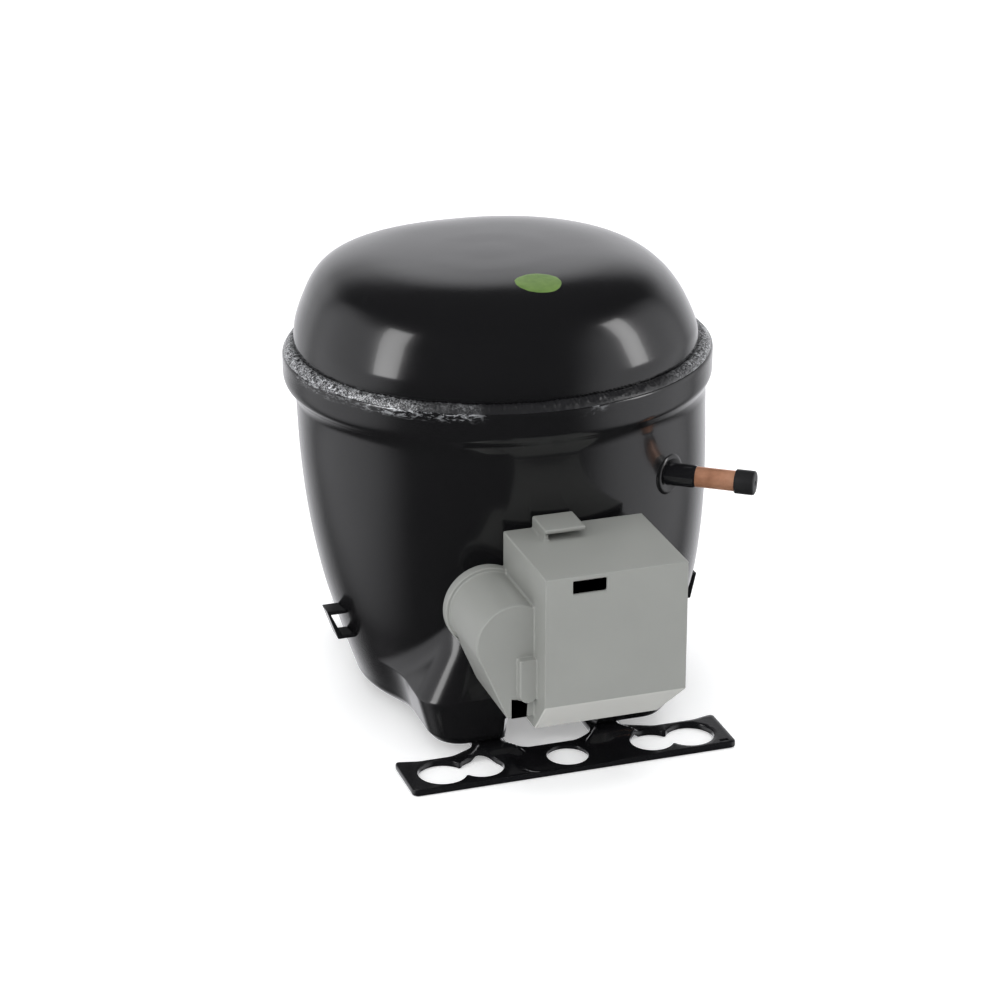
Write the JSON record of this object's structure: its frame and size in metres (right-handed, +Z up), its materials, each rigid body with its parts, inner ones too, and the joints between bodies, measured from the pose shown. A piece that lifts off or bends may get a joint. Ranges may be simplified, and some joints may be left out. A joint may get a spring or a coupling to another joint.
{
  "type": "hermetic reciprocating compressor",
  "caption": "Black sealed refrigeration compressor on two stamped base plates, with grey terminal cover, copper stubs with rubber caps and a sprung motor-pump inside.",
  "frame": {"origin": "midpoint between the two rows of mounting holes, on the plane that the base plates stand on", "axes": "+X runs along the base plates, -Y is the side of the terminal cover, +Z is up"},
  "size_m": [0.171, 0.2373, 0.181],
  "materials": {
    "shell_paint": "gloss black baked enamel",
    "plate_paint": "gloss black baked enamel on stamped steel",
    "weld": "rough weld, painted over and scuffed to bare steel",
    "copper": "drawn copper tube",
    "cap_rubber": "black moulded rubber",
    "cover_plastic": "grey moulded plastic, fine grain",
    "relay_plastic": "dark moulded plastic",
    "capacitor_case": "black phenolic case",
    "zinc_steel": "zinc plated steel",
    "bead_glass": "green sealing glass",
    "cast_iron": "machined grey cast iron",
    "lamination": "stacked electrical steel",
    "winding": "enamelled copper wire",
    "rotor_aluminium": "die cast aluminium",
    "ground_steel": "ground steel",
    "gasket": "fibre gasket",
    "muffler_plastic": "cream moulded plastic",
    "spring_steel": "oiled spring steel",
    "lead_sleeve": "sleeved motor lead",
    "screw_brass": "brass plated screw"
  },
  "bodies": {
    "shell": {"lower_shell": "shell_paint", "upper_shell": "shell_paint", "weld_bead": "weld", "front_base_plate": "plate_paint", "rear_base_plate": "plate_paint", "suction_tube": "copper", "discharge_tube": "copper", "process_tube": "copper", "tube_sleeves": "shell_paint", "tube_weld_rings": "shell_paint", "left_side_bracket": "plate_paint", "right_side_bracket": "plate_paint", "hermetic_terminal": "ground_steel", "terminal_glass_beads": "bead_glass", "terminal_pins": "ground_steel", "motor_connector": "relay_plastic", "terminal_fence": "shell_paint", "starting_relay": "relay_plastic", "overload_protector": "relay_plastic", "ground_screw": "screw_brass", "ground_tab": "zinc_steel", "lower_spring_seats": "zinc_steel", "suspension_springs": "spring_steel", "discharge_loop_tube": "zinc_steel", "motor_leads": "lead_sleeve"},
    "cover": {"terminal_cover": "cover_plastic", "start_capacitor": "capacitor_case"},
    "suction_cap": {"suction_tube_cap": "cap_rubber"},
    "discharge_cap": {"discharge_tube_cap": "cap_rubber"},
    "process_cap": {"process_tube_cap": "cap_rubber"},
    "pump": {"cylinder_block": "cast_iron", "stator_core": "lamination", "main_winding": "winding", "start_winding": "winding", "stator_bolts": "zinc_steel", "upper_spring_caps": "relay_plastic", "thrust_washer": "ground_steel", "cylinder_gasket": "gasket", "valve_plate": "ground_steel", "head_gasket": "gasket", "cylinder_head": "rotor_aluminium", "head_bolts": "zinc_steel", "discharge_reed_stop": "ground_steel", "suction_muffler": "muffler_plastic", "suction_muffler_cover": "muffler_plastic", "discharge_muffler_cap": "zinc_steel"},
    "crank": {"crankshaft": "cast_iron", "rotor_core": "lamination", "rotor_end_rings": "rotor_aluminium", "counterweight": "cast_iron", "oil_pickup_tube": "zinc_steel"},
    "gallery_plug": {"oil_gallery_plug": "ground_steel"},
    "slider": {"slider_block": "cast_iron"},
    "piston_yoke": {"piston": "cast_iron", "cross_yoke_tube": "ground_steel"},
    "suction_valve": {"suction_reed": "spring_steel"},
    "discharge_valve": {"discharge_reed": "spring_steel"}
  },
  "joints": [
    {"name": "suspension_bounce", "type": "slide", "parent": "shell", "child": "pump", "axis": [0, 0, 1], "range_m": [-0.0025, 0.0025], "stiffness_N_per_m": 15000, "springref_m": 0.0032, "deforming": ["suspension_springs", "discharge_loop_tube", "motor_leads"]},
    {"name": "crank_spin", "type": "hinge", "parent": "pump", "child": "crank", "pos_m": [0, 0, 0.1], "axis": [0, 0, 1], "continuous": true},
    {"name": "slider_turn", "type": "hinge", "parent": "crank", "child": "slider", "pos_m": [0.007, 0, 0.13], "axis": [0, 0, 1], "continuous": true},
    {"name": "gallery_plug_turn", "type": "hinge", "parent": "crank", "child": "gallery_plug", "pos_m": [0.0035, 0, 0.135], "axis": [0, 0, 1], "continuous": true},
    {"name": "piston_stroke_turn", "type": "hinge", "parent": "gallery_plug", "child": "piston_yoke", "pos_m": [0.007, 0, 0.13], "axis": [0, 0, 1], "continuous": true},
    {"name": "suction_reed_flex", "type": "hinge", "parent": "pump", "child": "suction_valve", "pos_m": [0.0542, -0.0046, 0.1215], "axis": [0, -1, 0], "range_deg": [0, 2.2], "stiffness_Nm_per_rad": 0.02},
    {"name": "discharge_reed_flex", "type": "hinge", "parent": "pump", "child": "discharge_valve", "pos_m": [0.0576, 0.0046, 0.1215], "axis": [0, 1, 0], "range_deg": [0, 4], "stiffness_Nm_per_rad": 0.02},
    {"name": "cover_pull", "type": "slide", "parent": "shell", "child": "cover", "axis": [0, -1, 0], "range_m": [0, 0.06]},
    {"name": "suction_cap_pull", "type": "slide", "parent": "shell", "child": "suction_cap", "axis": [0.8123, -0.5832, 0], "range_m": [0, 0.06]},
    {"name": "discharge_cap_pull", "type": "slide", "parent": "shell", "child": "discharge_cap", "axis": [0, 1, 0], "range_m": [0, 0.06]},
    {"name": "process_cap_pull", "type": "slide", "parent": "shell", "child": "process_cap", "axis": [0, 1, 0], "range_m": [0, 0.06]}
  ],
  "couplings": [
    {"joint": "slider_turn", "follows": "crank_spin", "ratio": -1},
    {"joint": "gallery_plug_turn", "follows": "crank_spin", "ratio": -2},
    {"joint": "piston_stroke_turn", "follows": "crank_spin", "ratio": 1}
  ]
}
